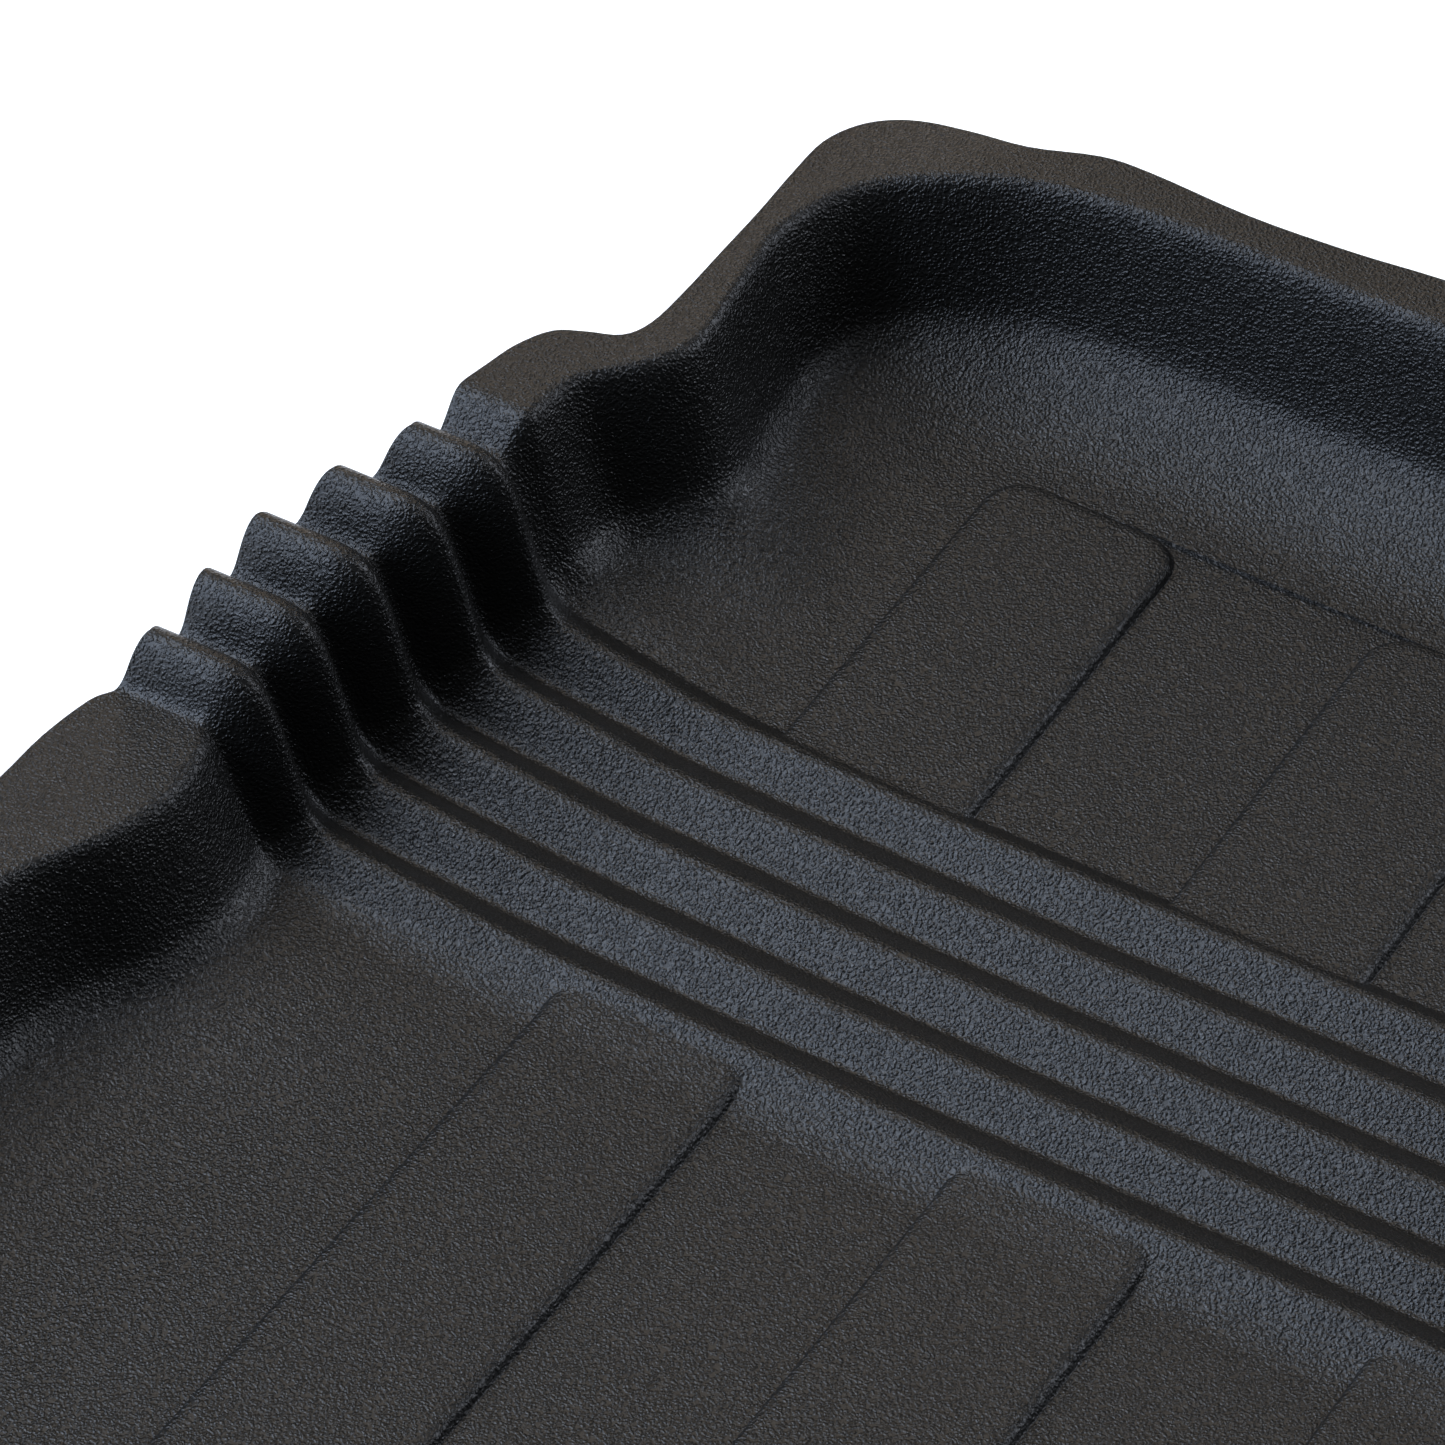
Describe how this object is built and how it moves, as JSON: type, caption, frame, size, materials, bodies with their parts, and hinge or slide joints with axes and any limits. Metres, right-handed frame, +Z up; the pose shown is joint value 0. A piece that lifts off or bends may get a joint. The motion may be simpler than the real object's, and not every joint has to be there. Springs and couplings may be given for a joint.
{
  "type": "truck bed liner",
  "caption": "Shallow moulded cargo tray with flanged rim, long floor pads and a bellows fold across it that lets the short front section swing up.",
  "frame": {"origin": "middle of the liner's outline, at the height of the surface it lies on", "axes": "+X across the bed along the bellows, +Y towards the short front section, +Z up"},
  "size_m": [1.019, 1.424, 0.0644],
  "materials": {
    "moulded_plastic": "black polyethylene with a fine leather grain"
  },
  "bodies": {
    "rear_tray": {"rear_tray": "moulded_plastic"},
    "hinge_pleat_1": {"hinge_pleat_1": "moulded_plastic"},
    "hinge_pleat_2": {"hinge_pleat_2": "moulded_plastic"},
    "hinge_pleat_3": {"hinge_pleat_3": "moulded_plastic"},
    "hinge_pleat_4": {"hinge_pleat_4": "moulded_plastic"},
    "hinge_pleat_5": {"hinge_pleat_5": "moulded_plastic"},
    "front_tray": {"front_tray": "moulded_plastic"}
  },
  "joints": [
    {"name": "fold_1", "type": "hinge", "parent": "rear_tray", "child": "hinge_pleat_1", "pos_m": [0, 0.434, 0.003], "axis": [1, 0, 0], "range_deg": [-4, 13], "deforming": ["hinge_pleat_1"]},
    {"name": "fold_2", "type": "hinge", "parent": "hinge_pleat_1", "child": "hinge_pleat_2", "pos_m": [0, 0.456, 0.003], "axis": [1, 0, 0], "range_deg": [-4, 13], "deforming": ["hinge_pleat_2"]},
    {"name": "fold_3", "type": "hinge", "parent": "hinge_pleat_2", "child": "hinge_pleat_3", "pos_m": [0, 0.478, 0.003], "axis": [1, 0, 0], "range_deg": [-4, 13], "deforming": ["hinge_pleat_3"]},
    {"name": "fold_4", "type": "hinge", "parent": "hinge_pleat_3", "child": "hinge_pleat_4", "pos_m": [0, 0.5, 0.003], "axis": [1, 0, 0], "range_deg": [-4, 13], "deforming": ["hinge_pleat_4"]},
    {"name": "fold_5", "type": "hinge", "parent": "hinge_pleat_4", "child": "hinge_pleat_5", "pos_m": [0, 0.522, 0.003], "axis": [1, 0, 0], "range_deg": [-4, 13], "deforming": ["hinge_pleat_5"]},
    {"name": "fold_6", "type": "hinge", "parent": "hinge_pleat_5", "child": "front_tray", "pos_m": [0, 0.542, 0.0053], "axis": [1, 0, 0], "range_deg": [-4, 13]}
  ],
  "couplings": [
    {"joint": "fold_2", "follows": "fold_1", "ratio": 1},
    {"joint": "fold_3", "follows": "fold_1", "ratio": 1},
    {"joint": "fold_4", "follows": "fold_1", "ratio": 1},
    {"joint": "fold_5", "follows": "fold_1", "ratio": 1},
    {"joint": "fold_6", "follows": "fold_1", "ratio": 1}
  ]
}
